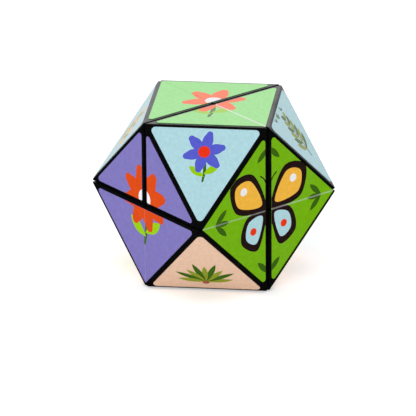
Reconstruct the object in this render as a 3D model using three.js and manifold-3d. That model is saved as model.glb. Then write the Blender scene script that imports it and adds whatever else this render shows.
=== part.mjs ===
// Folding picture puzzle: eight hollow plastic blocks that close into a cuboctahedron, a solid of
// six squares and eight triangles. Each block is a cube with its outer corner cut away. A block is
// a moulded shell, open on one inner face, and a plug-in lid. Printed film covers every face, and
// where it runs unbroken from one block to the next its crease is the hinge. Eight such creases
// tie the blocks into one closed ring.
// Millimetres, +Z up. The origin is the middle of the square the closed puzzle stands on.
import * as THREE from "three";
import { ConvexGeometry } from "three/addons/geometries/ConvexGeometry.js";
import { mergeVertices } from "three/addons/utils/BufferGeometryUtils.js";
import Module from "manifold-3d";

const wasm = await Module();
wasm.setup();

// Driving dimensions
const reach = 35; // centre of the closed puzzle to the bare plastic of a square face
const wall = 1.6; // shell wall
const edgeRound = 0.4; // radius of a block's outer edges
const filmThickness = 0.15; // printed film, with its adhesive
const glueGap = 0.05; // room left between film and plastic
const facingClearance = 0.2; // between the films of two blocks that face each other
const filmMargin = 1.3; // bare plastic around a film
const filmCorner = 1.1; // radius of a film's 45 degree corners
const filmHeel = 0.5; // radius of a quarter film's right-angled corner
const triangleMargin = 1.1; // bare plastic around a triangular film
const triangleCorner = 1.5; // radius of a triangular film's corners
const creaseGap = 0.3; // opening between the two halves of a hinge film
const seamGap = 0.3; // where two edges of an inner film meet along a block edge
const fitClearance = 0.15; // lid in shell, peg in socket
const lidThickness = 1.6;
const postRadius = 3; // lid posts inside a shell
const postSink = 0.7; // how far a post runs into the walls beside it
const pegRadius = 1.4; // pegs on a lid
const pegLength = 7;
const socketSpare = 1; // socket depth past the end of a peg
const tabLength = 12; // guide tabs on a lid
const tabHeight = 3;
const tabThickness = 1;
const ribHeight = 1.5; // crossed stiffening ribs on a lid
const ribThickness = 1;
const roundSides = 16; // sides of a peg, post or socket
const arcSteps = 5; // straight steps in a film's rounded corner

// Sizes that follow from them
const filmStack = glueGap + filmThickness; // how far a film stands off its plastic
const inner = filmStack + facingClearance / 2; // middle plane to a block's inner face
const centreHeight = reach + filmStack; // the closed puzzle stands on its bottom films
const cutSum = 2 * reach + inner; // a block lies where x + y + z is below this
const cavityLow = inner + wall;
const cavityHigh = reach - wall;
const cavitySum = cutSum - wall * Math.sqrt(3);
const notchSum = 2 * (inner + edgeRound) + inner; // an inner film is notched below this
const postInset = postRadius - postSink; // a post's axis stands this far off the cavity's sides
const lidTop = inner + lidThickness;

const materials = {
  plastic: new THREE.MeshStandardMaterial({ color: 0x0b0b0c, roughness: 0.42, metalness: 0 }),
  lid: new THREE.MeshStandardMaterial({ color: 0x111112, roughness: 0.55, metalness: 0 }),
  top: new THREE.MeshStandardMaterial({ color: 0xa6e8a0, roughness: 0.3, metalness: 0 }),
  right: new THREE.MeshStandardMaterial({ color: 0x76b900, roughness: 0.3, metalness: 0 }),
  front: new THREE.MeshStandardMaterial({ color: 0x8679c0, roughness: 0.3, metalness: 0 }),
  left: new THREE.MeshStandardMaterial({ color: 0xf2b63c, roughness: 0.3, metalness: 0 }),
  back: new THREE.MeshStandardMaterial({ color: 0x2f9aa8, roughness: 0.3, metalness: 0 }),
  bottom: new THREE.MeshStandardMaterial({ color: 0xe27d60, roughness: 0.3, metalness: 0 }),
  sky: new THREE.MeshStandardMaterial({ color: 0xaedde4, roughness: 0.3, metalness: 0 }),
  sand: new THREE.MeshStandardMaterial({ color: 0xe3bfa5, roughness: 0.3, metalness: 0 }),
  inside: new THREE.MeshStandardMaterial({ color: 0x1b1b1d, roughness: 0.3, metalness: 0 }),
};

// A closed three.js geometry as a manifold-3d solid.
function solidOf(geometry) {
  const bare = new THREE.BufferGeometry();
  const source = geometry.index ? geometry.toNonIndexed() : geometry;
  bare.setAttribute("position", source.getAttribute("position").clone());
  const merged = mergeVertices(bare, 1e-4);
  const vertProperties = new Float32Array(merged.attributes.position.array);
  const triVerts = new Uint32Array(merged.index.array);
  return new wasm.Manifold(new wasm.Mesh({ numProp: 3, vertProperties, triVerts }));
}

// The three.js geometry of a manifold-3d solid.
function geometryOf(solid) {
  const mesh = solid.getMesh();
  const geometry = new THREE.BufferGeometry();
  geometry.setAttribute("position", new THREE.BufferAttribute(mesh.vertProperties, 3));
  geometry.setIndex(new THREE.BufferAttribute(mesh.triVerts, 1));
  geometry.computeVertexNormals();
  return geometry;
}

// A half-space, the points p with normal . p below the limit.
const below = (x, y, z, limit) => {
  const length = Math.hypot(x, y, z);
  return new THREE.Plane(new THREE.Vector3(x, y, z).divideScalar(length), -limit / length);
};

// The planes of a block in the octant of positive x, y and z, every face moved out by grow.
function blockPlanes(grow) {
  const planes = [
    below(-1, 0, 0, -inner),
    below(0, -1, 0, -inner),
    below(0, 0, -1, -inner),
    below(1, 0, 0, reach),
    below(0, 1, 0, reach),
    below(0, 0, 1, reach),
    below(1, 1, 1, cutSum),
  ];
  planes.forEach((plane) => (plane.constant -= grow));
  return planes;
}

// The corners of the convex solid that the planes bound, each with the planes that meet there.
function cornersOf(planes) {
  const touching = 1e-6;
  const corners = [];
  planes.forEach((a, i) =>
    planes.slice(i + 1).forEach((b, j) =>
      planes.slice(i + j + 2).forEach((c) => {
        const matrix = new THREE.Matrix3().set(...a.normal, ...b.normal, ...c.normal);
        if (Math.abs(matrix.determinant()) < touching) return;
        const constants = new THREE.Vector3(-a.constant, -b.constant, -c.constant);
        const point = constants.applyMatrix3(matrix.invert());
        if (planes.some((plane) => plane.distanceToPoint(point) > touching)) return;
        if (corners.some((corner) => corner.point.distanceTo(point) < touching)) return;
        const meeting = planes.filter((p) => Math.abs(p.distanceToPoint(point)) < touching);
        corners.push({ point, normals: meeting.map((p) => p.normal) });
      }),
    ),
  );
  return corners;
}

const convex = (planes) => solidOf(new ConvexGeometry(cornersOf(planes).map((c) => c.point)));

// A block's outside, grown by grow, with its edges rounded in two steps.
function roundedBlock(grow) {
  const radius = edgeRound + grow;
  const points = [];
  for (const { point, normals } of cornersOf(blockPlanes(-edgeRound)))
    for (const a of normals)
      for (const b of normals) {
        const direction = a.clone().add(b).normalize();
        points.push(point.clone().addScaledVector(direction, radius));
      }
  return solidOf(new ConvexGeometry(points));
}

// An upright cylinder from one height to another.
function uprightRod(x, y, radius, from, to) {
  const rod = new THREE.CylinderGeometry(radius, radius, to - from, roundSides);
  rod.rotateX(Math.PI / 2);
  rod.translate(x, y, (from + to) / 2);
  return solidOf(rod);
}

function boxBetween(low, high) {
  const size = high.clone().sub(low);
  const box = new THREE.BoxGeometry(size.x, size.y, size.z);
  box.translate(...low.clone().add(high).divideScalar(2));
  return solidOf(box);
}

// The lid posts stand in the three corners where a shell is deep.
const postNear = cavityLow + postInset;
const postFar = cavityHigh - postInset;
const postPlaces = [
  [postNear, postNear],
  [postFar, postNear],
  [postNear, postFar],
];

function shellSolid() {
  const outside = roundedBlock(0);
  const mouth = inner - wall;
  const cavity = convex([
    below(-1, 0, 0, -cavityLow),
    below(0, -1, 0, -cavityLow),
    below(0, 0, -1, -mouth),
    below(1, 0, 0, cavityHigh),
    below(0, 1, 0, cavityHigh),
    below(0, 0, 1, cavityHigh),
    below(1, 1, 1, cavitySum),
  ]);
  let shell = outside.subtract(cavity);
  const seat = lidTop + fitClearance;
  for (const [x, y] of postPlaces) {
    const post = uprightRod(x, y, postRadius, seat, reach);
    shell = shell.add(post.intersect(outside));
  }
  const socketEnd = seat + pegLength + socketSpare;
  for (const [x, y] of postPlaces)
    shell = shell.subtract(uprightRod(x, y, pegRadius + fitClearance, inner, socketEnd));
  return shell;
}

// A closed outline through the corners, each rounded by its own radius.
function roundedOutline(corners, radii) {
  const shape = new THREE.Shape();
  corners.forEach((corner, i) => {
    const before = corners[(i + corners.length - 1) % corners.length];
    const after = corners[(i + 1) % corners.length];
    const toBefore = before.clone().sub(corner).normalize();
    const toAfter = after.clone().sub(corner).normalize();
    const halfAngle = Math.acos(toBefore.dot(toAfter)) / 2;
    const reachBack = radii[i] / Math.tan(halfAngle);
    const bisector = toBefore.clone().add(toAfter).normalize();
    const centre = corner.clone().addScaledVector(bisector, radii[i] / Math.sin(halfAngle));
    const start = corner.clone().addScaledVector(toBefore, reachBack).sub(centre);
    const turn = Math.PI - 2 * halfAngle;
    const steps = radii[i] > 0 ? arcSteps : 0;
    for (let step = 0; step <= steps; step += 1) {
      const angle = steps ? (turn * step) / steps : 0;
      const spoke = start.clone().rotateAround(new THREE.Vector2(), angle);
      const point = centre.clone().add(spoke);
      if (i === 0 && step === 0) shape.moveTo(point.x, point.y);
      else shape.lineTo(point.x, point.y);
    }
  });
  return shape;
}

const sheetOf = (shape, thickness) =>
  new THREE.ExtrudeGeometry(shape, { depth: thickness, bevelEnabled: false });

function lidSolid() {
  const low = cavityLow + fitClearance;
  const high = cavityHigh - fitClearance;
  const cornerSum = cavitySum - lidTop - fitClearance * Math.SQRT2;
  const outline = [
    new THREE.Vector2(low, low),
    new THREE.Vector2(high, low),
    new THREE.Vector2(high, cornerSum - high),
    new THREE.Vector2(cornerSum - high, high),
    new THREE.Vector2(low, high),
  ];
  const plate = sheetOf(new THREE.Shape(outline), lidThickness);
  plate.translate(0, 0, inner);
  let lid = solidOf(plate);
  const root = lidTop - lidThickness / 2; // pegs, tabs and ribs start inside the plate
  for (const [x, y] of postPlaces)
    lid = lid.add(uprightRod(x, y, pegRadius, root, lidTop + pegLength));
  const middle = (low + high) / 2;
  const tabTop = lidTop + tabHeight;
  const half = tabLength / 2;
  for (const side of [low, high - tabThickness]) {
    const across = side + tabThickness;
    const start = middle - half;
    const end = middle + half;
    lid = lid.add(
      boxBetween(new THREE.Vector3(side, start, root), new THREE.Vector3(across, end, tabTop)),
    );
    lid = lid.add(
      boxBetween(new THREE.Vector3(start, side, root), new THREE.Vector3(end, across, tabTop)),
    );
  }
  const ribTop = lidTop + ribHeight;
  const ribLow = middle - ribThickness / 2;
  const ribHigh = middle + ribThickness / 2;
  const end = high - tabThickness / 2;
  const start = low + tabThickness / 2;
  lid = lid.add(
    boxBetween(new THREE.Vector3(start, ribLow, root), new THREE.Vector3(end, ribHigh, ribTop)),
  );
  return lid.add(
    boxBetween(new THREE.Vector3(ribLow, start, root), new THREE.Vector3(ribHigh, end, ribTop)),
  );
}

// One die-cut film wraps a block's three inner faces. It is bent over two of the edges between
// them, has its seam on the third, and is notched where all three meet.
function innerFilmSolid() {
  const skin = roundedBlock(filmStack).subtract(roundedBlock(glueGap));
  const edge = reach - filmMargin;
  const lowSides = [below(-1, 0, 0, 0), below(0, -1, 0, 0), below(0, 0, -1, 0)];
  const highSides = [below(1, 0, 0, edge), below(0, 1, 0, edge), below(0, 0, 1, edge)];
  const blank = convex([...lowSides, ...highSides, below(1, 1, 1, cutSum - filmMargin)]);
  const notch = convex([...lowSides, below(1, 1, 1, notchSum)]);
  const seam = convex([
    below(-1, -1, 0, 0),
    below(1, 1, 0, 2 * cavityLow),
    below(1, -1, 0, seamGap / Math.SQRT2),
    below(-1, 1, 0, seamGap / Math.SQRT2),
    below(0, 0, -1, 0),
    below(0, 0, 1, reach),
  ]);
  return skin.intersect(blank).subtract(notch).subtract(seam);
}

// The film on a quarter of a square face, in that face's plane. Its two short sides run towards
// the neighbouring blocks and stop at a margin, or at the crease where the film carries on.
function quarterFilm(creaseAcrossFirst, creaseAcrossSecond) {
  const start = (crease) => (crease ? creaseGap / 2 : inner + filmMargin);
  const u = start(creaseAcrossFirst);
  const v = start(creaseAcrossSecond);
  const slope = reach + inner - filmMargin * Math.SQRT2;
  const corners = [
    new THREE.Vector2(u, v),
    new THREE.Vector2(slope - v, v),
    new THREE.Vector2(u, slope - u),
  ];
  const radii = [
    creaseAcrossFirst || creaseAcrossSecond ? 0 : filmHeel,
    creaseAcrossSecond ? 0 : filmCorner,
    creaseAcrossFirst ? 0 : filmCorner,
  ];
  return sheetOf(roundedOutline(corners, radii), filmThickness);
}

// Moves a sheet drawn in the plane of two axes onto the block face that the third axis crosses.
function onFace(sheet, axis) {
  const unit = [0, 1, 2].map((i) => new THREE.Vector3().setComponent((axis + 1 + i) % 3, 1));
  sheet.applyMatrix4(new THREE.Matrix4().makeBasis(...unit));
  return sheet.translate(...unit[2].clone().multiplyScalar(reach + glueGap));
}

// The film on a block's triangular face.
function triangleFilm() {
  const normal = new THREE.Vector3(1, 1, 1).normalize();
  const across = new THREE.Vector3(1, -1, 0).normalize();
  const up = normal.clone().cross(across);
  const inscribed = (reach - inner) / Math.sqrt(6) - triangleMargin;
  const corners = [90, 210, 330].map((degrees) => {
    const angle = THREE.MathUtils.degToRad(degrees);
    const far = 2 * inscribed;
    return new THREE.Vector2(far * Math.cos(angle), far * Math.sin(angle));
  });
  const radii = corners.map(() => triangleCorner);
  const sheet = sheetOf(roundedOutline(corners, radii), filmThickness);
  sheet.applyMatrix4(new THREE.Matrix4().makeBasis(across, up, normal));
  return sheet.translate(...normal.multiplyScalar(cutSum / Math.sqrt(3) + glueGap));
}

// Whether the film on a square face runs on into the block across one of the middle planes.
function creased(face, across, isUpper) {
  if (face === "x") return across === "z";
  if (face === "z") return across === "y" && isUpper;
  return across === "x" && !isUpper;
}

const faceNames = { x: ["left", "right"], y: ["front", "back"], z: ["bottom", "top"] };
const axisNames = ["x", "y", "z"];

// The world axis that a turned block's own axis lies on, and whether it points the positive way.
function worldAxis(turned, axis) {
  const direction = new THREE.Vector3().setComponent(axis, 1).applyEuler(turned);
  const index = direction.toArray().findIndex((value) => Math.abs(value) > 0.5);
  return { name: axisNames[index], positive: direction.getComponent(index) > 0 };
}

const shellGeometry = geometryOf(shellSolid());
const lidGeometry = geometryOf(lidSolid());
const innerFilmGeometry = geometryOf(innerFilmSolid());
const triangleGeometry = triangleFilm();
const skyBlocks = ["upper_front_right", "upper_back_right", "upper_front_left", "lower_back_left"];

function part(name, geometry, material) {
  const mesh = new THREE.Mesh(geometry, material);
  mesh.name = name;
  return mesh;
}

// One block with its shell, lid and films, turned into its place.
function block(isUpper, quarterTurns) {
  const group = new THREE.Group();
  group.position.z = centreHeight;
  group.rotation.set(isUpper ? 0 : Math.PI, 0, (quarterTurns * Math.PI) / 2, "ZYX");
  const axes = axisNames.map((_, axis) => worldAxis(group.rotation, axis));
  const side = Object.fromEntries(axes.map((axis) => [axis.name, axis.positive ? 1 : 0]));
  const level = isUpper ? "upper" : "lower";
  const place = `${level}_${faceNames.y[side.y]}_${faceNames.x[side.x]}`;

  group.add(part(`shell_${place}`, shellGeometry, materials.plastic));
  group.add(part(`lid_${place}`, lidGeometry, materials.lid));
  group.add(part(`inner_film_${place}`, innerFilmGeometry, materials.inside));
  const triangleMaterial = skyBlocks.includes(place) ? materials.sky : materials.sand;
  group.add(part(`triangle_film_${place}`, triangleGeometry, triangleMaterial));

  axes.forEach((axis, i) => {
    const creases = [1, 2].map((step) =>
      creased(axis.name, axes[(i + step) % 3].name, isUpper),
    );
    const face = faceNames[axis.name][side[axis.name]];
    const kind = creases.includes(true) ? "hinge_film" : "film";
    const sheet = onFace(quarterFilm(...creases), i);
    group.add(part(`${face}_${kind}_${place}`, sheet, materials[face]));
  });
  return group;
}

const puzzle = new THREE.Group();
for (const isUpper of [true, false])
  for (const quarterTurns of [0, 1, 2, 3]) puzzle.add(block(isUpper, quarterTurns));

export default puzzle;
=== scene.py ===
"""Looks for the folding picture puzzle: eight hollow black blocks, their printed films, and a pale studio.

The puzzle's sizes are in millimetres until a mesh is made. Meshes, lights and the camera are in
metres, +Z up.
"""

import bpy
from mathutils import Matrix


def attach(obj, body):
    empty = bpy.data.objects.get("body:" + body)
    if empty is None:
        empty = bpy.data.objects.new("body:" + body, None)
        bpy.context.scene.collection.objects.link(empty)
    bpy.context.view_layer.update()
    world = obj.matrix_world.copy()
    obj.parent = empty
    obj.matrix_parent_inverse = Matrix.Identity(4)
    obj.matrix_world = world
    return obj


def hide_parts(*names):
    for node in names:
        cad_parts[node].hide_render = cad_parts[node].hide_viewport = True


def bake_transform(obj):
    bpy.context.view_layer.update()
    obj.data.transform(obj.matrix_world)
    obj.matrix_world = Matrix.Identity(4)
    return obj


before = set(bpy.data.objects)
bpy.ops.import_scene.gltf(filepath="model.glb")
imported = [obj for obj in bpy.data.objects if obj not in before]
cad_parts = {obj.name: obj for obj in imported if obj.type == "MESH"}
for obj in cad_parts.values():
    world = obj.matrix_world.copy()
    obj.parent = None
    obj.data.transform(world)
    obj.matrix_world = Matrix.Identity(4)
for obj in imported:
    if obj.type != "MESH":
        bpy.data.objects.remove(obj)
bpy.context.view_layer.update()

import math
import random
from itertools import product

import bmesh
import bpy
import numpy as np
from mathutils import Euler, Vector, geometry

MM = 0.001

# The blocks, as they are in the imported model
REACH = 35.0  # centre of the closed puzzle to the bare plastic of a square face
WALL = 1.6
EDGE_ROUND = 0.4
FILM = 0.15
GLUE = 0.05
STACK = GLUE + FILM
HALF_GAP = 0.1  # half the gap between the films of two blocks
INNER = STACK + HALF_GAP  # middle plane to a block's inner face
CENTRE = REACH + STACK  # height of the closed puzzle's centre
CUT_SUM = 2 * REACH + INNER  # a block lies where x + y + z is below this
MARGIN = 1.3  # bare plastic around a film
TIP_ROUND = 1.1  # at a film's 45 degree corners
HEEL_ROUND = 0.5  # at a film's right angle
TRIANGLE_MARGIN = 1.1
TRIANGLE_ROUND = 1.5
CREASE_HALF = 0.45  # half the width over which a crease bends
CREASE_DIP = 0.12  # how far its middle sinks
CREASE_LINES = (-CREASE_HALF, -0.3, -0.2, -0.1, 0, 0.1, 0.2, 0.3, CREASE_HALF)  # lines of its mesh
WHITENING_AND_HIGHLIGHT_GAIN = 1.8  # paleness of a crease at full strength, real whitening and painted highlight, before it is held to 1
SPLIT_HALF = 0.03  # half the gap between the two film halves at the opened pivot
LID_THICK = 1.6
PEG_ROUND = 1.4
PEG_LONG = 7.0
POST_ROUND = 3.0
POST_SINK = 0.7  # how far a post sinks into the shell's wall
FIT = 0.15

# A film on a square face begins START out from a middle plane, and ends where its distances from
# the two middle planes add up to SLOPE
START = INNER + MARGIN
SLOPE = REACH + INNER - MARGIN * math.sqrt(2)

# The inner film is drawn flat, as it is cut: a square for the lid's face, with one more square
# beyond each of its two bends
BEND_START = INNER + EDGE_ROUND
BEND_RADIUS = EDGE_ROUND + GLUE + FILM / 2
BEND_LONG = BEND_RADIUS * math.pi / 2
BEND_END = BEND_START - BEND_LONG
INNER_EDGE = REACH - MARGIN
FAR_END = BEND_END - (INNER_EDGE - BEND_START)
SEAM_SIDE = BEND_START - BEND_RADIUS * 0.6
NOTCH_STEP = 0.9  # the notch in its inner corner, beside the bends
NOTCH_LONG = 1.5
INNER_ROUND = 1.2
SEAM_ROUND = 0.8
PICTURE_ROUND = 1.6
PICTURE_NEAR = 0.7  # border from the start of a bend to a picture
PICTURE_FAR = 0.9  # border from the film's edge to a picture

# Levels of detail
ROUND_STEPS = 5  # over a rounded corner of a block
CORNER_STEPS = 6  # over a rounded corner of a film
BEND_STEPS = 6  # over a bend of the inner film
CAP_STEPS = 6  # over the round end of a drawn stroke
ROD_SIDES = 32
CURVE_STEP = 0.5  # length of the straight steps that a drawn curve is made of
SMALL_END = 0.15  # a stroke's end below this half width stays square
THINNEST = 0.02  # smallest half width of a stroke
MERGE = 0.002  # corners of a drawing nearer than this become one
SAME = 1e-6  # numbers nearer than this count as equal
WELD = 1e-7  # corners of a solid nearer than this, in metres, become one
FLAT_ANGLE = 1  # faces of a solid that turn by fewer degrees than this become one
SHARP_ANGLE = 40  # edges that turn by more degrees than this are shaded sharp

# The camera: where it looks from, and the point it looks at
AZIMUTH = -38.3
ELEVATION = 21.9
ROLL = -0.4
DISTANCE = 2.0
LENS = 429.0
AIM_RIGHT = -0.0023
AIM_UP = -0.0093
SENSOR = 36
FAR_CLIP = 100

# The studio: how bright its parts are, where the lit backdrop is, and its floor and lamps in metres
EVEN_LIGHT = 0.66
DARK_STUDIO = 0.01
BACKDROP_LIGHT = 1.5
BACKDROP_WAY = (-0.728, 0.575, 0.373)
BACKDROP_EDGE = (0.6, 1.0)
FLOOR_GLOW = 0.40
FLOOR_HALF = 6.0
FLOOR_DROP = 0.0002
LAMP_AIM = (0, 0, 0.035)
OVERHEAD = {"place": (0.1, -0.1, 0.9), "size": 0.9, "power": 2.2}
FRONT_LEFT = {"place": (-0.25, -0.9, 0.35), "size": 0.5, "power": 1.5}

# The blocks: each one's name, and the sides of the middle planes that it lies on
SIDES = {"x": ("left", "right"), "y": ("front", "back"), "z": ("lower", "upper")}
BLOCKS = [
    (f"{SIDES['z'][sz > 0]}_{SIDES['y'][sy > 0]}_{SIDES['x'][sx > 0]}", (sx, sy, sz))
    for sx, sy, sz in product((-1, 1), repeat=3)
]
BLOCK_AT = {signs: name for name, signs in BLOCKS}

# Each square face: its outward direction, and the right and the up of its picture's frame
FACES = {
    "left": ((-1, 0, 0), (0, -1, 0), (0, 0, 1)),
    "right": ((1, 0, 0), (0, 1, 0), (0, 0, 1)),
    "front": ((0, -1, 0), (1, 0, 0), (0, 0, 1)),
    "back": ((0, 1, 0), (-1, 0, 0), (0, 0, 1)),
    "bottom": ((0, 0, -1), (1, 0, 0), (0, -1, 0)),
    "top": ((0, 0, 1), (1, 0, 0), (0, 1, 0)),
}

# The hinges: each crease's face, and the way the crease runs out from the middle of that face
HINGES = [
    ("right", (0, -1, 0)), ("right", (0, 1, 0)), ("left", (0, -1, 0)), ("left", (0, 1, 0)),
    ("top", (1, 0, 0)), ("top", (-1, 0, 0)), ("front", (0, 0, -1)), ("back", (0, 0, -1)),
]
# How pale the ink of each crease is: real whitening from folding, plus a painted highlight that is strongest
# on the top face's crease towards +x (1.0), where the gloss catches the light
CREASE_WHITENING_AND_HIGHLIGHT = (0.15, 0.2, 0.15, 0.2, 1.0, 0.06, 0.05, 0.12)
# The crease that closes the ring. No joint joins its two blocks
OPEN_HINGE = ("back", (0, 0, -1))


# ---------------------------------------------------------------- materials

def linear(rgb):
    """A colour of 0 to 255 per channel, as a painter picks it, in the linear numbers a shader takes."""
    channels = []
    for value in rgb:
        c = value / 255
        channels.append(c / 12.92 if c <= 0.04045 else ((c + 0.055) / 1.055) ** 2.4)
    return (*channels, 1.0)


def new_material(name):
    material = bpy.data.materials.new(name)
    material.use_nodes = True
    tree = material.node_tree
    return material, tree, tree.nodes["Principled BSDF"]


def noise(tree, scale, detail=3.0, roughness=0.5):
    """Noise over the object, scale in features per metre."""
    place = tree.nodes.new("ShaderNodeTexCoord")
    node = tree.nodes.new("ShaderNodeTexNoise")
    node.inputs["Scale"].default_value = scale
    node.inputs["Detail"].default_value = detail
    node.inputs["Roughness"].default_value = roughness
    tree.links.new(place.outputs["Object"], node.inputs["Vector"])
    return node.outputs["Fac"]


def spread(tree, source, low, high, start=0.3, end=0.7):
    """Maps a source that runs from start to end onto low to high."""
    node = tree.nodes.new("ShaderNodeMapRange")
    node.inputs["From Min"].default_value = start
    node.inputs["From Max"].default_value = end
    node.inputs["To Min"].default_value = low
    node.inputs["To Max"].default_value = high
    tree.links.new(source, node.inputs["Value"])
    return node.outputs["Result"]


def bump(tree, shader, height, strength, distance):
    node = tree.nodes.new("ShaderNodeBump")
    node.inputs["Strength"].default_value = strength
    node.inputs["Distance"].default_value = distance
    tree.links.new(height, node.inputs["Height"])
    tree.links.new(node.outputs["Normal"], shader.inputs["Normal"])


def blend_colour(tree, factor, first, second):
    """Mixes two colours; each is a fixed colour or another node's output."""
    node = tree.nodes.new("ShaderNodeMix")
    node.data_type = "RGBA"
    for socket, colour in ((node.inputs[6], first), (node.inputs[7], second)):
        if isinstance(colour, tuple):
            socket.default_value = colour
        else:
            tree.links.new(colour, socket)
    tree.links.new(factor, node.inputs[0])
    return node.outputs[2]


def plastic(name, shade, gloss):
    """Moulded black ABS: faint moulding grain, finger marks in the gloss, and a few pale scuffs."""
    material, tree, shader = new_material(name)
    smudge = noise(tree, 90, 4)
    grain = noise(tree, 2600, 2)
    scuff = spread(tree, noise(tree, 420, 6, 0.7), 0, 1, 0.60, 0.72)
    base = linear((shade, shade, shade + 1))
    worn = linear((shade + 16, shade + 15, shade + 16))
    tree.links.new(blend_colour(tree, scuff, base, worn), shader.inputs["Base Color"])
    tree.links.new(spread(tree, smudge, gloss - 0.07, gloss + 0.10), shader.inputs["Roughness"])
    bump(tree, shader, grain, 0.12, 0.00004)
    shader.inputs["Specular IOR Level"].default_value = 0.42
    return material


def print_ink(name, rgb):
    """Ink under a clear glossy film: slightly uneven ink, an orange-peel skin, and a paler crease, partly ink
    whitened by folding and partly a painted highlight.
    """
    material, tree, shader = new_material(f"ink_{name}")
    ink = linear(rgb)
    thin = tuple(min(1.0, c * 1.07 + 0.004) for c in ink[:3]) + (1.0,)
    dense = tuple(c * 0.94 for c in ink[:3]) + (1.0,)
    mottle = spread(tree, noise(tree, 700, 5, 0.6), 0, 1)
    inked = blend_colour(tree, mottle, dense, thin)
    # The crease attribute blends the ink towards near white: real whitening from folding, plus a painted
    # highlight
    crease = tree.nodes.new("ShaderNodeAttribute")
    crease.attribute_name = "crease"
    whitening_and_highlight_mask = tree.nodes.new("ShaderNodeMath")
    whitening_and_highlight_mask.operation = "MULTIPLY"
    tree.links.new(crease.outputs["Fac"], whitening_and_highlight_mask.inputs[0])
    tree.links.new(spread(tree, noise(tree, 900, 3), 0.6, 1.0), whitening_and_highlight_mask.inputs[1])
    whitened_and_highlighted = blend_colour(tree, whitening_and_highlight_mask.outputs[0], inked, linear((240, 240, 236)))
    tree.links.new(whitened_and_highlighted, shader.inputs["Base Color"])
    tree.links.new(spread(tree, noise(tree, 60, 4), 0.12, 0.22), shader.inputs["Roughness"])
    bump(tree, shader, noise(tree, 340, 3), 0.05, 0.0002)
    shader.inputs["Specular IOR Level"].default_value = 0.3
    return material


# Colours of 0 to 255 per channel
INKS = {
    "violet": (127, 119, 187),
    "leaf": (116, 180, 2),
    "mint": (146, 222, 128),
    "sky": (176, 216, 224),
    "sand": (226, 190, 164),
    "amber": (244, 184, 62),
    "teal": (44, 156, 168),
    "coral": (228, 122, 92),
    "orange": (220, 74, 12),
    "rust": (176, 34, 12),
    "salmon": (255, 100, 34),
    "pink": (242, 152, 128),
    "white": (238, 238, 240),
    "black": (34, 16, 16),
    "slate": (92, 80, 92),
    "moss": (58, 100, 12),
    "lime": (152, 204, 2),
    "blue": (86, 92, 204),
    "red": (236, 50, 10),
    "olive": (138, 150, 40),
    "brown": (158, 88, 62),
    "grass": (130, 178, 30),
    "iris": (240, 140, 28),
    "border": (10, 9, 10),
}


# ---------------------------------------------------------------- drawing shapes

def turned(points, angle, centre=(0, 0)):
    c, s = math.cos(math.radians(angle)), math.sin(math.radians(angle))
    cx, cy = centre
    return [(cx + x * c - y * s, cy + x * s + y * c) for x, y in points]


def oval(x, y, rx, ry=None):
    ry = rx if ry is None else ry
    count = max(10, int(2 * math.pi * max(rx, ry) / CURVE_STEP))
    ring = [2 * math.pi * i / count for i in range(count)]
    return [(x + rx * math.cos(a), y + ry * math.sin(a)) for a in ring]


def through(points, closed):
    """A smooth curve through points, which may carry a width as a third number."""
    points = [np.array(p, float) for p in points]
    n = len(points)
    curve = []
    for i in range(n if closed else n - 1):
        b, c = points[i], points[(i + 1) % n]
        a = points[i - 1] if closed or i > 0 else 2 * b - c
        d = points[(i + 2) % n] if closed or i + 2 < n else 2 * c - b
        steps = max(2, int(np.hypot(*(c - b)[:2]) / CURVE_STEP))
        for k in range(steps):
            t = k / steps
            curve.append(
                0.5 * (2 * b + (c - a) * t + (2 * a - 5 * b + 4 * c - d) * t * t
                       + (3 * b - a - 3 * c + d) * t ** 3)
            )
    if not closed:
        curve.append(points[-1])
    return curve


def blob(*points):
    """A closed smooth outline through the points."""
    return [tuple(p) for p in through(points, True)]


def ribbon(*points):
    """A smooth stroke through points of x, y and half width, with a round end at each end."""
    spine = through(points, False)
    left, right = [], []
    for i, p in enumerate(spine):
        before, after = spine[max(0, i - 1)], spine[min(len(spine) - 1, i + 1)]
        along = (after - before)[:2]
        along = along / (np.hypot(*along) or 1)
        side = np.array([-along[1], along[0]]) * max(p[2], THINNEST)
        left.append(tuple(p[:2] + side))
        right.append(tuple(p[:2] - side))
    return left + round_end(spine[-1], left[-1]) + right[::-1] + round_end(spine[0], right[0])


def round_end(centre, start):
    """Points of the half circle from start, clockwise about its centre."""
    cx, cy = centre[:2]
    arm = (start[0] - cx, start[1] - cy)
    if math.hypot(*arm) < SMALL_END:
        return []
    return [turned([arm], -180 * k / CAP_STEPS, (cx, cy))[0] for k in range(1, CAP_STEPS)]


def blade(x, y, angle, length, width, bend=0.0):
    """A pointed leaf that grows from x, y in a direction, and bends sideways along its length."""
    a = math.radians(angle)
    forward, side = (math.cos(a), math.sin(a)), (-math.sin(a), math.cos(a))
    spine = []
    for t, w in ((0, 0.12), (0.3, 0.8), (0.55, 1), (0.8, 0.7), (1, 0.04)):
        shift = bend * t * t
        spine.append((
            x + forward[0] * length * t + side[0] * shift,
            y + forward[1] * length * t + side[1] * shift,
            width / 2 * w,
        ))
    return ribbon(*spine)


def finger(x, y, angle, length, width, bend=0.0):
    """A leaf with a blunt round end."""
    a = math.radians(angle)
    forward, side = (math.cos(a), math.sin(a)), (-math.sin(a), math.cos(a))
    spine = []
    for t, w in ((0, 0.35), (0.35, 0.9), (0.7, 1), (1, 0.62)):
        shift = bend * math.sin(math.pi * t * 0.9)
        spine.append((
            x + forward[0] * length * t + side[0] * shift,
            y + forward[1] * length * t + side[1] * shift,
            width / 2 * w,
        ))
    return ribbon(*spine)


def sprig(ink, x, y, angle, size, count=3, fan=64):
    """A small tuft of blades."""
    tuft = []
    for i in range(count):
        lean = angle + fan * (i / (count - 1) - 0.5)
        tuft.append((ink, blade(x, y, lean, size * (1 - 0.12 * (i % 2)), size * 0.3)))
    return tuft


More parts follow.
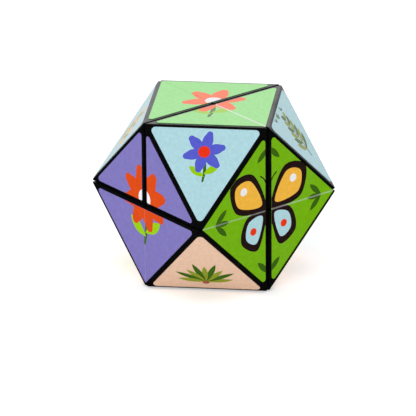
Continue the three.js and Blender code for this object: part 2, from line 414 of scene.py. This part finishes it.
def eye(x, y, size, iris=None):
    parts = [("black", oval(x, y, size))]
    if iris:
        parts.append((iris, oval(x, y, size * 0.64)))
        parts.append(("black", oval(x, y, size * 0.32)))
    parts.append(("white", oval(x + size * 0.25, y + size * 0.3, size * 0.2)))
    return parts


def moved(art, x=0.0, y=0.0, angle=0.0, scale=1.0, flip=False):
    """The same drawing, mirrored, scaled, turned and shifted."""
    sign = -1 if flip else 1
    return [
        (ink, turned([(sign * px * scale, py * scale) for px, py in outline], angle, (x, y)))
        for ink, outline in art
    ]


# ---------------------------------------------------------------- pictures

def long_beaked_bird():
    """A dark bird with a long bright beak, on a branch."""
    art = [("brown", ribbon((-24, -11, 1.5), (-8, -9.4, 1.7), (9, -12, 1.5), (22, -10, 0.9)))]
    for x, y, angle in ((-18, -9, 60), (17, -10.5, 120), (6, -12.5, 250)):
        art += sprig("moss", x, y, angle, 8, 3, 80)
    art.append(("teal", ribbon((4, -6, 3.0), (6.6, -15, 2.4), (8.4, -23, 1.4))))
    art.append(("black", blob((-8, 9), (-3.4, 15.4), (4.4, 14), (8.8, 6), (8.6, -4), (4.2, -9), (-2.4, -8),
                              (-6.6, -1))))
    art.append(("white", blob((-7.6, 9.4), (-3, 10.4), (-1, 5), (-3.2, -1), (-6.2, -1.4))))
    art.append(("blue", blade(4.4, 9, 280, 17, 6.5, 1.5)))
    art.append(("iris", blob((-6, 15.2), (-13, 15.6), (-20.4, 10.6), (-22.4, 6), (-16.4, 8.2), (-7, 8.6))))
    art.append(("red", blob((-19.4, 11.0), (-22.4, 6), (-18.4, 7.6))))
    art += eye(-2.6, 12.0, 1.5, "sky")
    for x in (-1.4, 1.6):
        art.append(("iris", ribbon((x, -8, 0.5), (x - 0.6, -10.4, 0.5))))
    return art


def shelled_swimmer():
    """A turtle among water plants."""
    art = []
    for x, angle in ((-24, 70), (-19, 95), (20, 88), (25, 112)):
        art.append(("moss", finger(x, -14, angle, 13, 2.6, 1.6)))
    for x, y, angle, size in ((-8, 8, 142, 9), (9, 8, 38, 11), (-9, -7, 222, 8), (8.6, -7, 318, 9)):
        art.append(("grass", finger(x, y, angle, size, 5.2, 1.2)))
    art.append(("grass", blade(0, -9, 270, 9, 3)))
    art.append(("grass", oval(0, 16.6, 4.0, 5.0)))
    art += eye(-2.0, 18.2, 0.95)
    art += eye(2.0, 18.2, 0.95)
    art.append(("moss", oval(0, 1, 12.4, 13.4)))
    art.append(("olive", oval(0, 1, 10.6, 11.6)))
    art.append(("moss", oval(0, 1, 4.2, 4.4)))
    sixth_turn = 1.047
    for k in range(6):
        a = k * sixth_turn
        art.append(("moss", oval(7.3 * math.cos(a), 1 + 7.9 * math.sin(a), 2.1, 2.3)))
    for x, y in ((-16, 14), (15, 19), (-21, 4), (18, 12)):
        art.append(("white", oval(x, y, 0.9)))
    return art


def spread_wings():
    """A butterfly with both pairs of wings open."""
    art = []
    for side in (-1, 1):
        upper = ((1, 2), (8, 17), (19, 15), (17, 3), (7, 0))
        upper_field = ((3.4, 3), (9, 14.4), (16.6, 13), (15, 4.4))
        lower = ((1, 0), (11, -1), (14, -11), (6, -16), (2, -7))
        lower_field = ((3, -2), (10, -3), (11.4, -10), (6, -12.6))
        for ink, wing in (("black", upper), ("amber", upper_field), ("black", lower), ("sky", lower_field)):
            art.append((ink, blob(*[(side * x, y) for x, y in wing])))
        art.append(("white", oval(side * 12.6, 10.8, 1.7)))
        art.append(("red", oval(side * 7.8, -7.4, 1.6)))
        art.append(("black", ribbon((side * 0.4, 9, 0.3), (side * 2, 13.4, 0.25), (side * 4, 15.4, 0.3))))
    art.append(("rust", ribbon((0, 9, 1.3), (0, 0, 1.6), (0, -9, 0.8))))
    return art


def corner_leaves():
    """A tuft of leaves in each corner of a square face."""
    art = []
    for k in range(4):
        x, y = turned([(27, 0)], 90 * k)[0]
        art += sprig("moss", x, y, 180 + 90 * k, 8, 3, 90)
    return art


def leafy_plant(dark, pale, seed):
    """A straight stem with pairs of pointed leaves, and a few small tufts above it."""
    scatter = random.Random(seed)
    art = [(dark, ribbon((0, -11, 0.5), (0.6, -2, 0.4), (0, 9, 0.25)))]
    for k in range(6):
        height, length = 3 * k - 8, 9 - k
        art.append((pale if k % 2 else dark, blade(0.3, height, 32, length, 2.6, 0.6)))
        art.append((dark if k % 2 else pale, blade(0.3, height, 148, length, 2.6, -0.6)))
    for _ in range(4):
        x, y = scatter.uniform(-12, 12), scatter.uniform(9, 11)
        art += sprig(dark, x, y, scatter.uniform(60, 120), 2.6, 3, 100)
    return art


def flower(petal, heart, count=6):
    """A flower on a stem with two leaves."""
    art = [("moss", ribbon((0, 0, 0.5), (0.6, -7, 0.6), (0, -12, 0.4)))]
    art.append(("lime", blade(0.4, -9, 30, 7, 2.8, 0.6)))
    art.append(("lime", blade(0.2, -10, 150, 7, 2.8, -0.6)))
    for k in range(count):
        art.append((petal, finger(0, 0, 360 / count * k + 15, 7.4, 4.2)))
    art.append((heart, oval(0, 0, 2.4)))
    return art


def paw_prints():
    """Two prints, one behind the other."""
    paw = [("slate", oval(0, -1.2, 3.0, 2.3))]
    for k in (-1.5, -0.5, 0.5, 1.5):
        paw.append(("slate", oval(2.1 * k, 2.4 - abs(k) * 0.6, 0.95, 1.4)))
    return moved(paw, -6, -6, 20) + moved(paw, 6, 5.5, 20)


def palm_leaves():
    """A fan of leaves from one point."""
    art = []
    for k in range(9):
        art.append(("moss" if k % 2 else "olive", blade(0, -8, 10 + 20 * k, 14 + 3 * (k % 2), 3)))
    art.append(("brown", oval(0, -8.6, 1.8, 1.4)))
    return art


# What each film shows: its ground ink and its drawing, which is turned by the angle on a square face
FACE_PICTURES = {
    "front": ("violet", moved(flower("orange", "white", 8), y=3, scale=1.6), 0),
    "right": ("leaf", corner_leaves() + spread_wings(), 0),
    "top": ("mint", moved(flower("salmon", "white", 6), y=3, scale=1.5), 45),
    "left": ("amber", long_beaked_bird(), 0),
    "back": ("teal", shelled_swimmer(), 0),
    "bottom": ("coral", moved(palm_leaves(), y=2, scale=1.5), 45),
}
TRIANGLE_PICTURES = {
    "upper_front_right": ("sky", moved(flower("blue", "red"), y=3.5)),
    "lower_front_right": ("sand", moved(palm_leaves(), y=-2, scale=0.8)),
    "upper_back_right": ("sky", leafy_plant("moss", "olive", 3)),
    "upper_front_left": ("sky", leafy_plant("amber", "olive", 5)),
    "upper_back_left": ("sand", moved(flower("red", "amber"), y=3.5)),
    "lower_back_left": ("sky", moved(flower("pink", "white", 5), y=2.0)),
    "lower_front_left": ("sand", moved(leafy_plant("moss", "lime", 8), y=-3, flip=True)),
    "lower_back_right": ("sand", moved(flower("violet", "lime", 7), y=1.0)),
}
INNER_GROUNDS = ("sky", "coral", "leaf", "violet", "sand", "teal", "amber", "mint")


# ---------------------------------------------------------------- meshes


def inside(points, outline):
    """Which of the points an outline winds round."""
    ring = np.array(outline)
    after = np.roll(ring, -1, axis=0)
    x, y = points[:, :1], points[:, 1:]
    side = (after[:, 0] - ring[:, 0]) * (y - ring[:, 1]) - (x - ring[:, 0]) * (after[:, 1] - ring[:, 1])
    rises = (ring[:, 1] <= y) & (after[:, 1] > y) & (side > 0)
    falls = (ring[:, 1] > y) & (after[:, 1] <= y) & (side < 0)
    return rises.sum(1) != falls.sum(1)


def partition(outline, ground, art, guides=()):
    """Cuts an outline's inside into triangles along every drawn edge and guide line.

    Returns the corners, the triangles, and the ink that is on top in each triangle."""
    corners, edges = [], []
    low, high = np.min(outline, axis=0), np.max(outline, axis=0)
    near = [
        (ink, ring) for ink, ring in art
        if np.all(np.min(ring, axis=0) < high) and np.all(np.max(ring, axis=0) > low)
    ]
    for ring in [outline] + [ring for _, ring in near]:
        first = len(corners)
        corners += [Vector(p) for p in ring]
        edges += [(first + i, first + (i + 1) % len(ring)) for i in range(len(ring))]
    for start, end in guides:
        edges.append((len(corners), len(corners) + 1))
        corners += [Vector(start), Vector(end)]
    cut = geometry.delaunay_2d_cdt(corners, edges, [], 0, MERGE, False)
    points = np.array([tuple(p) for p in cut[0]])
    triangles = np.array([tuple(f) for f in cut[2]])
    middles = points[triangles].mean(axis=1)
    kept = inside(middles, outline)
    triangles, middles = triangles[kept], middles[kept]
    inks = np.full(len(triangles), ground, dtype=object)
    for ink, ring in near:
        inks[inside(middles, ring)] = ink
    used, renumbered = np.unique(triangles, return_inverse=True)
    return points[used], renumbered.reshape(-1, 3), inks


def rounded(corners, radii):
    """The outline through the corners, each rounded by its own radius."""
    outline = []
    for i, corner in enumerate(corners):
        corner = np.array(corner, float)
        back = np.array(corners[i - 1]) - corner
        on = np.array(corners[(i + 1) % len(corners)]) - corner
        back, on = back / np.hypot(*back), on / np.hypot(*on)
        if not radii[i]:
            outline.append(tuple(corner))
            continue
        half = math.acos(np.clip(back @ on, -1, 1)) / 2
        bisector = (back + on) / np.hypot(*(back + on))
        centre = corner + bisector * radii[i] / math.sin(half)
        arm = corner + back * radii[i] / math.tan(half) - centre
        turn = math.copysign(180 - math.degrees(2 * half), back[1] * on[0] - back[0] * on[1])
        outline += [turned([arm], turn * k / CORNER_STEPS, centre)[0] for k in range(CORNER_STEPS + 1)]
    return outline


def film_object(name, pieces, edge_ink, surface, crease=None):
    """A film as a thin closed solid. surface takes a point of the drawing and a depth, 0 on the
    printed side and 1 on the glued side, and returns millimetres from the puzzle's centre."""
    points, triangles, inks = pieces
    count = len(points)
    vertices = [Vector(surface(*p, depth)) for depth in (0, 1) for p in points]
    faces = [tuple(t) for t in triangles]
    uses = {}
    for t in triangles:
        for a, b in ((t[0], t[1]), (t[1], t[2]), (t[2], t[0])):
            uses[(a, b)] = True
    rim = [(a, b) for a, b in uses if (b, a) not in uses]
    faces += [tuple(count + i for i in reversed(t)) for t in triangles]
    faces += [(b, a, count + a, count + b) for a, b in rim]
    face_inks = list(inks) + [edge_ink] * (len(triangles) + len(rim))
    names = sorted(set(face_inks))
    mesh = bpy.data.meshes.new(name)
    mesh.from_pydata([in_metres(v) for v in vertices], [], faces)
    for ink in names:
        mesh.materials.append(INK[ink])
    for polygon, ink in zip(mesh.polygons, face_inks):
        polygon.material_index = names.index(ink)
    # The crease attribute holds the paleness at each corner: real whitening and a painted highlight
    if crease is not None:
        whitening_and_highlight_mask = mesh.attributes.new("crease", "FLOAT", "POINT")
        for i, p in enumerate(points):
            whitening_and_highlight_mask.data[i].value = crease(*p)
            whitening_and_highlight_mask.data[count + i].value = crease(*p)
    return linked(outward(mesh))


def in_metres(v):
    """Millimetres from the puzzle's centre, as metres in the shared frame."""
    return (v[0] * MM, v[1] * MM, (v[2] + CENTRE) * MM)


def outward(mesh):
    work = bmesh.new()
    work.from_mesh(mesh)
    bmesh.ops.recalc_face_normals(work, faces=work.faces)
    work.to_mesh(mesh)
    work.free()
    return mesh


def linked(mesh):
    made = bpy.data.objects.new(mesh.name, mesh)
    bpy.context.scene.collection.objects.link(made)
    return made


def face_surface(face, dip=None):
    """Where a square face's drawing lies. dip says how far a point sinks below the flat film."""
    normal, right, up = (np.array(v, float) for v in FACES[face])

    def surface(x, y, depth):
        stand = REACH + STACK - depth * FILM - (dip(x, y) if dip else 0)
        return tuple(normal * stand + right * x + up * y)

    return surface


def in_face(face, vector):
    """A direction of the shared frame, as it lies in a face's drawing."""
    _, right, up = FACES[face]
    return np.array([np.dot(vector, right), np.dot(vector, up)], float)


def face_picture(face):
    ground, art, angle = FACE_PICTURES[face]
    return ground, moved(art, angle=angle) if angle else art


def hinge_blocks(face, along):
    """The two blocks that a crease lies between, and the direction across it from the first to the second."""
    normal = FACES[face][0]
    across = np.cross(normal, along)
    first = tuple(int(v) for v in np.array(normal) + along - across)
    second = tuple(int(v) for v in np.array(normal) + along + across)
    return BLOCK_AT[first], BLOCK_AT[second], across


def hinge_film(face, along, whitening_and_highlight):
    """One film over two quarters of a face. It dips in a shallow groove along its crease, or is split at the
    opened pivot.
    """
    first, second, across = hinge_blocks(face, along)
    a2, c2 = in_face(face, along), in_face(face, across)
    tip = SLOPE - START
    corners = [(START, -tip), (SLOPE, 0), (START, tip)]
    ground, art = face_picture(face)

    def place(x, w):
        return tuple(a2 * x + c2 * w)

    def offset(x, y):
        return float(np.dot((x, y), c2))

    def dip(x, y):
        return CREASE_DIP * max(0.0, 1 - (offset(x, y) / CREASE_HALF) ** 2) ** 2

    # Paleness across the crease: real whitening from folding plus a painted highlight
    def whitening_and_highlight_mask(x, y):
        return min(1.0, WHITENING_AND_HIGHLIGHT_GAIN * whitening_and_highlight * max(0.0, 1 - (offset(x, y) / CREASE_HALF) ** 2))

    guides = [(place(START - 1, w), place(SLOPE + 1, w)) for w in CREASE_LINES]
    outline = rounded(corners, (TIP_ROUND, 0, TIP_ROUND))
    nodes = [f"{face}_hinge_film_{first}", f"{face}_hinge_film_{second}"]
    if (face, along) != OPEN_HINGE:
        ring = [place(*p) for p in outline]
        name = f"film_over_{first}_and_{second}"
        pieces = partition(ring, ground, art, guides)
        piece = film_object(name, pieces, ground, face_surface(face, dip), whitening_and_highlight_mask)
        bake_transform(piece)
        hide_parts(*nodes)
        return
    for side, block, node in ((-1, first, nodes[0]), (1, second, nodes[1])):
        corners = [(START, side * SPLIT_HALF), (SLOPE, side * SPLIT_HALF), (START, side * tip)]
        ring = [place(*p) for p in rounded(corners, (0, 0, TIP_ROUND))]
        pieces = partition(ring, ground, art, guides)
        piece = film_object(f"half_film_{block}", pieces, ground, face_surface(face, dip), whitening_and_highlight_mask)
        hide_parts(node)
        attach(piece, block)


def quarter_film(face, block, signs):
    """A plain film on one quarter of a face."""
    ground, art = face_picture(face)
    across = [s for s, n in zip(np.eye(3) * signs, FACES[face][0]) if not n]
    u, v = in_face(face, across[0]), in_face(face, across[1])
    corners = [(START, START), (SLOPE - START, START), (START, SLOPE - START)]
    ring = [tuple(u * x + v * y) for x, y in rounded(corners, (HEEL_ROUND, TIP_ROUND, TIP_ROUND))]
    piece = film_object(f"film_{face}_{block}", partition(ring, ground, art), ground, face_surface(face))
    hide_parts(f"{face}_film_{block}")
    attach(piece, block)


def triangle_film(block, signs):
    """The film on a block's large triangular face."""
    ground, art = TRIANGLE_PICTURES[block]
    normal = np.array(signs) / math.sqrt(3)
    right = np.cross((0, 0, 1), normal)
    right = right / np.linalg.norm(right)
    up = np.cross(normal, right)
    far = 2 * ((REACH - INNER) / math.sqrt(6) - TRIANGLE_MARGIN)
    corners = [
        (far * math.cos(math.radians(a)), far * math.sin(math.radians(a)))
        for a in (np.array((90, 210, 330)) if signs[2] < 0 else np.array((-90, 30, 150)))
    ]
    ring = rounded(corners, [TRIANGLE_ROUND] * 3)

    def surface(x, y, depth):
        stand = CUT_SUM / math.sqrt(3) + STACK - depth * FILM
        return tuple(normal * stand + right * x + up * y)

    piece = film_object(f"triangle_{block}", partition(ring, ground, art), ground, surface)
    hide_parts(f"triangle_film_{block}")
    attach(piece, block)


def inner_outline():
    """The outline of the flat inner film, an L with a notch in its inner corner."""
    notch = BEND_START + NOTCH_STEP
    half = [(FAR_END, INNER_EDGE), (FAR_END, SEAM_SIDE), (BEND_END - NOTCH_LONG, SEAM_SIDE),
            (BEND_END, notch), (BEND_START, notch)]
    other = [(y, x) for x, y in reversed(half)]
    radii = [INNER_ROUND, SEAM_ROUND, 0, 0, 0, 0, 0, 0, SEAM_ROUND, INNER_ROUND, INNER_ROUND]
    return rounded(half + other + [(INNER_EDGE, INNER_EDGE)], radii)


def bent(distance, radius):
    """How a strip turns over a rounded edge: where it is along its first face, and along the second."""
    past = BEND_START - distance
    if past <= 0:
        return distance, BEND_START - radius
    if past < BEND_LONG:
        angle = past / BEND_RADIUS
        return BEND_START - radius * math.sin(angle), BEND_START - radius * math.cos(angle)
    return BEND_START - radius, BEND_START + past - BEND_LONG


def inner_film(block, signs, index):
    """The film round a block's three inner faces, with a picture on each."""
    low, high = BEND_START + PICTURE_NEAR, INNER_EDGE - PICTURE_FAR
    middle, half = (low + high) / 2, (high - low) / 2
    far_middle = BEND_END - (middle - BEND_START)
    box = rounded([(-half, -half), (half, -half), (half, half), (-half, half)], [PICTURE_ROUND] * 4)
    art = []
    for k, (x, y) in enumerate(((middle, middle), (far_middle, middle), (middle, far_middle))):
        picture = inner_picture(3 * index + k)
        ground = INNER_GROUNDS[(index + 3 * k) % len(INNER_GROUNDS)]
        art += moved([(ground, box)], x, y) + moved(picture, x, y, 90 * ((index + k) % 4))
    lines = [BEND_START - BEND_LONG * k / BEND_STEPS for k in range(BEND_STEPS + 1)]
    lines.append(BEND_START - BEND_RADIUS * 0.3)
    before, beyond = FAR_END - 1, INNER_EDGE + 1
    guides = [((x, before), (x, beyond)) for x in lines]
    guides += [((before, y), (beyond, y)) for y in lines]

    def surface(p, q, depth):
        radius = EDGE_ROUND + STACK - depth * FILM
        if p >= BEND_START and q >= BEND_START:
            x, y, z = p, q, BEND_START - radius
        elif p < q:
            (x, z), y = bent(p, radius), q
            if q < BEND_START:
                y, x = bent(q, radius)
        else:
            (y, z), x = bent(q, radius), p
            if p < BEND_START:
                x, y = bent(p, radius)
        return (signs[0] * x, signs[1] * y, signs[2] * z)

    pieces = partition(inner_outline(), "border", art, guides)
    piece = film_object(f"inner_picture_{block}", pieces, "border", surface)
    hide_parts(f"inner_film_{block}")
    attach(piece, block)


def inner_picture(number):
    """A simple picture for one inner square, which is about 31 mm wide."""
    kind = number % 6
    if kind == 0:
        return leafy_plant("moss", "lime", number)
    if kind == 1:
        return moved(flower("white", "iris", 7), y=3)
    if kind == 2:
        return paw_prints()
    if kind == 3:
        return moved(flower("red", "amber", 5), y=3)
    if kind == 4:
        return palm_leaves()
    return moved(spread_wings(), scale=0.62)


# ---------------------------------------------------------------- blocks

def plane(x, y, z, limit):
    """The half-space of the points where x, y and z times the first three numbers stay below the limit."""
    length = math.sqrt(x * x + y * y + z * z)
    return np.array([x, y, z, limit]) / length


def corners_of(planes):
    """The corners of the convex solid that the planes bound, each with the planes that meet there."""
    found = []
    for i in range(len(planes)):
        for j in range(i + 1, len(planes)):
            for k in range(j + 1, len(planes)):
                three = np.array([planes[i], planes[j], planes[k]])
                if abs(np.linalg.det(three[:, :3])) < SAME:
                    continue
                point = np.linalg.solve(three[:, :3], three[:, 3])
                if any(p[:3] @ point - p[3] > SAME for p in planes):
                    continue
                if all(np.linalg.norm(point - other) > SAME for other, _ in found):
                    meeting = [p[:3] for p in planes if abs(p[:3] @ point - p[3]) < SAME]
                    found.append((point, meeting))
    return found


def hull(points, name):
    """The convex solid round the points, in metres, with its flat faces whole."""
    work = bmesh.new()
    for p in points:
        work.verts.new(tuple(np.array(p) * MM))
    bmesh.ops.remove_doubles(work, verts=work.verts, dist=WELD)
    made = bmesh.ops.convex_hull(work, input=work.verts)
    loose = [v for v in made["geom_interior"] + made["geom_unused"] if isinstance(v, bmesh.types.BMVert)]
    bmesh.ops.delete(work, geom=loose, context="VERTS")
    flat = math.radians(FLAT_ANGLE)
    bmesh.ops.dissolve_limit(work, angle_limit=flat, verts=work.verts, edges=work.edges)
    bmesh.ops.recalc_face_normals(work, faces=work.faces)
    mesh = bpy.data.meshes.new(name)
    work.to_mesh(mesh)
    work.free()
    return linked(mesh)


def block_outside():
    """A block's outside, with every edge and corner rounded."""
    low, high = INNER + EDGE_ROUND, REACH - EDGE_ROUND
    planes = [plane(-1, 0, 0, -low), plane(0, -1, 0, -low), plane(0, 0, -1, -low),
              plane(1, 0, 0, high), plane(0, 1, 0, high), plane(0, 0, 1, high),
              plane(1, 1, 1, CUT_SUM - EDGE_ROUND * math.sqrt(3))]
    points = []
    for point, normals in corners_of(planes):
        a, b, c = normals[:3]
        for i in range(ROUND_STEPS + 1):
            for j in range(ROUND_STEPS + 1 - i):
                direction = a * i + b * j + c * (ROUND_STEPS - i - j)
                points.append(point + EDGE_ROUND * direction / np.linalg.norm(direction))
    return hull(points, "block_outside")


def rods(places, radius, low, high):
    """Upright cylinders in one mesh, in metres."""
    work = bmesh.new()
    for x, y in places:
        made = bmesh.ops.create_cone(work, cap_ends=True, segments=ROD_SIDES, radius1=radius * MM,
                                     radius2=radius * MM, depth=(high - low) * MM)
        bmesh.ops.translate(work, verts=made["verts"], vec=(x * MM, y * MM, (low + high) / 2 * MM))
    mesh = bpy.data.meshes.new("rods")
    work.to_mesh(mesh)
    work.free()
    return linked(mesh)


def combine(base, *steps):
    """The base cut by, joined to or kept inside other solids, in order. The others are used up."""
    for operation, other in steps:
        modifier = base.modifiers.new(operation, "BOOLEAN")
        modifier.operation = operation
        modifier.solver = "EXACT"
        modifier.object = other
        bpy.context.view_layer.update()
        shape = base.evaluated_get(bpy.context.evaluated_depsgraph_get())
        mesh = bpy.data.meshes.new_from_object(shape)
        base.modifiers.clear()
        base.data = mesh
    for _, other in steps:
        if other.name in bpy.context.scene.collection.objects:
            bpy.data.objects.remove(other)
    return base


def block_shell():
    """The moulded shell of the block in the octant of positive x, y and z."""
    low, high = INNER + WALL, REACH - WALL
    cut = CUT_SUM - WALL * math.sqrt(3)
    cavity_planes = [plane(-1, 0, 0, -low), plane(0, -1, 0, -low), plane(0, 0, -1, WALL),
                     plane(1, 0, 0, high), plane(0, 1, 0, high), plane(0, 0, 1, high), plane(1, 1, 1, cut)]
    near, far = low + POST_ROUND - POST_SINK, high - POST_ROUND + POST_SINK
    places = ((near, near), (far, near), (near, far))
    seat = INNER + LID_THICK + FIT
    posts = combine(rods(places, POST_ROUND, seat, REACH + 1), ("INTERSECT", block_outside()))
    cavity = hull([p for p, _ in corners_of(cavity_planes)], "cavity")
    sockets = rods(places, PEG_ROUND + FIT, INNER - 1, seat + PEG_LONG + 1)
    return combine(block_outside(), ("DIFFERENCE", cavity), ("UNION", posts), ("DIFFERENCE", sockets))


def shell_copies(material):
    """The one moulding, mirrored into each of the eight places."""
    pattern = block_shell()
    for block, signs in BLOCKS:
        mesh = pattern.data.copy()
        mesh.name = f"moulding_{block}"
        for vertex in mesh.vertices:
            x, y, z = vertex.co
            vertex.co = (signs[0] * x, signs[1] * y, signs[2] * z + CENTRE * MM)
        mesh.materials.clear()
        mesh.materials.append(material)
        for polygon in outward(mesh).polygons:
            polygon.use_smooth = True
        piece = linked(mesh)
        smooth = piece.modifiers.new("even shading", "WEIGHTED_NORMAL")
        smooth.keep_sharp = True
        mesh.set_sharp_from_angle(angle=math.radians(SHARP_ANGLE))
        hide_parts(f"shell_{block}")
        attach(piece, block)
    bpy.data.objects.remove(pattern)


# ---------------------------------------------------------------- studio

def studio_world():
    """Even light all round. Only a lit backdrop behind the puzzle shows in its gloss: the rest is dark."""
    world = bpy.data.worlds.new("studio")
    bpy.context.scene.world = world
    world.use_nodes = True
    tree = world.node_tree
    back = tree.nodes["Background"]
    way = tree.nodes.new("ShaderNodeTexCoord")
    towards = tree.nodes.new("ShaderNodeVectorMath")
    towards.operation = "DOT_PRODUCT"
    towards.inputs[1].default_value = BACKDROP_WAY
    tree.links.new(way.outputs["Generated"], towards.inputs[0])
    lit = spread(tree, towards.outputs["Value"], 0, 1, *BACKDROP_EDGE)
    gloss = blend_colour(tree, lit, (*[DARK_STUDIO] * 3, 1), (*[BACKDROP_LIGHT] * 3, 1))
    rays = tree.nodes.new("ShaderNodeLightPath")
    shown = blend_colour(tree, rays.outputs["Is Glossy Ray"], (*[EVEN_LIGHT] * 3, 1), gloss)
    tree.links.new(shown, back.inputs["Color"])
    back.inputs["Strength"].default_value = 1.0
    world.cycles.sampling_method = "NONE"


def floor():
    """A pale matt floor under the puzzle, which its gloss doesn't mirror."""
    material, tree, shader = new_material("pale_floor")
    tone = spread(tree, noise(tree, 30, 2), 0.90, 0.93)
    tree.links.new(tone, shader.inputs["Base Color"])
    shader.inputs["Roughness"].default_value = 0.9
    shader.inputs["Specular IOR Level"].default_value = 0.1
    shader.inputs["Emission Color"].default_value = (1, 1, 1, 1)
    shader.inputs["Emission Strength"].default_value = FLOOR_GLOW
    work = bmesh.new()
    bmesh.ops.create_grid(work, x_segments=1, y_segments=1, size=FLOOR_HALF)
    mesh = bpy.data.meshes.new("floor")
    work.to_mesh(mesh)
    work.free()
    mesh.materials.append(material)
    ground = linked(mesh)
    ground.location.z = -FLOOR_DROP
    ground.visible_glossy = False


def area_light(name, place, size, power):
    """A soft round lamp, aimed at the puzzle's middle."""
    data = bpy.data.lights.new(name, "AREA")
    data.shape = "DISK"
    data.size = size
    data.energy = power
    lamp = bpy.data.objects.new(name, data)
    bpy.context.scene.collection.objects.link(lamp)
    lamp.location = place
    lamp.rotation_euler = (Vector(LAMP_AIM) - Vector(place)).to_track_quat("-Z", "Y").to_euler()
    lamp.visible_glossy = False


def camera():
    data = bpy.data.cameras.new("camera")
    data.sensor_width = SENSOR
    data.lens = LENS
    data.clip_end = FAR_CLIP
    made = bpy.data.objects.new("camera", data)
    bpy.context.scene.collection.objects.link(made)
    a, e = math.radians(AZIMUTH), math.radians(ELEVATION)
    outward_way = Vector((math.cos(e) * math.cos(a), math.cos(e) * math.sin(a), math.sin(e)))
    right = (-outward_way).cross(Vector((0, 0, 1))).normalized()
    up = right.cross(-outward_way)
    aim = Vector((0, 0, CENTRE * MM)) + right * AIM_RIGHT + up * AIM_UP
    made.location = aim + outward_way * DISTANCE
    turn = outward_way.to_track_quat("Z", "Y") @ Euler((0, 0, math.radians(ROLL))).to_quaternion()
    made.rotation_euler = turn.to_euler()
    bpy.context.scene.camera = made


# ---------------------------------------------------------------- assembly

INK = {name: print_ink(name, rgb) for name, rgb in INKS.items()}
camera()
studio_world()
floor()
area_light("overhead", **OVERHEAD)
area_light("front_left", **FRONT_LEFT)
shell_copies(plastic("black_abs", 10, 0.30))
lid_plastic = plastic("black_abs_lid", 13, 0.42)
for position, (block, signs) in enumerate(BLOCKS):
    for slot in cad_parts[f"lid_{block}"].material_slots:
        slot.material = lid_plastic
    triangle_film(block, signs)
    inner_film(block, signs, position)
    for face, (normal, _, _) in FACES.items():
        on_face = np.dot(normal, signs) > 0
        hinged = any(
            face == hinge_face and block in hinge_blocks(hinge_face, along)[:2]
            for hinge_face, along in HINGES
        )
        if on_face and not hinged:
            quarter_film(face, block, signs)
# Each crease's paleness, real whitening plus a painted highlight, goes onto its film
for (face, along), whitening_and_highlight in zip(HINGES, CREASE_WHITENING_AND_HIGHLIGHT):
    hinge_film(face, along, whitening_and_highlight)
bpy.context.scene.view_settings.view_transform = "Standard"

bpy.context.view_layer.update()
